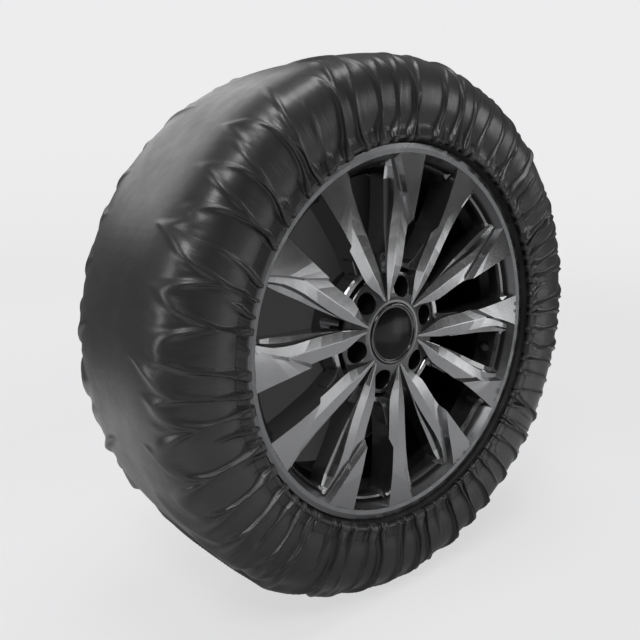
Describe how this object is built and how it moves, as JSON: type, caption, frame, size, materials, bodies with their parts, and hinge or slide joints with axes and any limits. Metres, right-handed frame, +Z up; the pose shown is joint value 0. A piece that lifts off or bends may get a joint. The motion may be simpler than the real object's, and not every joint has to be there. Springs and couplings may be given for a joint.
{
  "type": "snow sock tire",
  "caption": "Gathered satin cloth snow sock with elastic hems, pulled over a low-profile tyre on a gunmetal V-spoke alloy wheel with a snap-in centre cap.",
  "frame": {"origin": "centre of the wheel, on the axle, midway between the rim flanges", "axes": "Y along the axle, with the styled face towards -Y and the inboard side towards +Y; +Z up; +X to the right as the styled face is seen"},
  "size_m": [0.7771, 0.2822, 0.7772],
  "materials": {
    "wheel_alloy": "satin gunmetal",
    "cap_plastic": "gloss black",
    "spring_steel": "drawn wire",
    "brass": "machined",
    "valve_rubber": "moulded",
    "valve_cap_plastic": "moulded",
    "tyre_rubber": "moulded rubber",
    "ply_cord": "rubber-dipped cord",
    "belt_steel": "brass-plated cord",
    "lining_rubber": "smooth",
    "sock_cloth": "satin coated cloth",
    "sock_seam": "stitched satin cloth",
    "sock_hem": "gathered satin cloth",
    "elastic": "covered elastic"
  },
  "bodies": {
    "wheel": {"rim_barrel": "wheel_alloy", "hub_disc": "wheel_alloy", "spoke_pair_1": "wheel_alloy", "spoke_pair_2": "wheel_alloy", "spoke_pair_3": "wheel_alloy", "spoke_pair_4": "wheel_alloy", "spoke_pair_5": "wheel_alloy", "spoke_pair_6": "wheel_alloy", "valve_body": "valve_rubber", "valve_stem": "brass", "valve_core": "spring_steel", "tyre_tread": "tyre_rubber", "cap_ply": "ply_cord", "outer_belt": "belt_steel", "inner_belt": "belt_steel", "carcass_ply": "ply_cord", "inner_liner": "lining_rubber", "outer_sidewall": "tyre_rubber", "inner_sidewall": "tyre_rubber", "outer_bead_wire": "belt_steel", "inner_bead_wire": "belt_steel", "outer_bead_filler": "lining_rubber", "inner_bead_filler": "lining_rubber"},
    "centre_cap": {"centre_cap": "cap_plastic", "cap_spring_ring": "spring_steel"},
    "valve_pin": {"valve_pin": "brass"},
    "valve_cap_seal": {"valve_cap_seal": "valve_rubber"},
    "valve_cap": {"valve_cap": "valve_cap_plastic"},
    "sock": {"cover_tread": "sock_cloth", "cover_outer_side": "sock_cloth", "cover_inner_side": "sock_cloth", "closing_seam": "sock_seam", "outer_hem": "sock_hem", "inner_hem": "sock_hem", "outer_elastic": "elastic", "inner_elastic": "elastic"}
  },
  "joints": [
    {"name": "sock_turn", "type": "hinge", "parent": "wheel", "child": "sock", "pos_m": [0, 0, 0], "axis": [0, -1, 0], "continuous": true},
    {"name": "centre_cap_pull", "type": "slide", "parent": "wheel", "child": "centre_cap", "axis": [0, -1, 0], "range_m": [0, 0.02]},
    {"name": "valve_pin_press", "type": "slide", "parent": "wheel", "child": "valve_pin", "axis": [0.683, 0.7071, -0.183], "range_m": [0, 0.0009], "stiffness_N_per_m": 400, "springref_m": -0.001},
    {"name": "valve_cap_rise", "type": "slide", "parent": "wheel", "child": "valve_cap_seal", "axis": [-0.683, -0.7071, 0.183], "range_m": [0, 0.00635]},
    {"name": "valve_cap_turn", "type": "hinge", "parent": "valve_cap_seal", "child": "valve_cap", "pos_m": [0.22941, -0.0734, -0.06147], "axis": [-0.683, -0.7071, 0.183], "range_deg": [0, 2880]}
  ],
  "couplings": [
    {"joint": "valve_cap_turn", "follows": "valve_cap_rise", "rad_per_m": 7915.8}
  ]
}
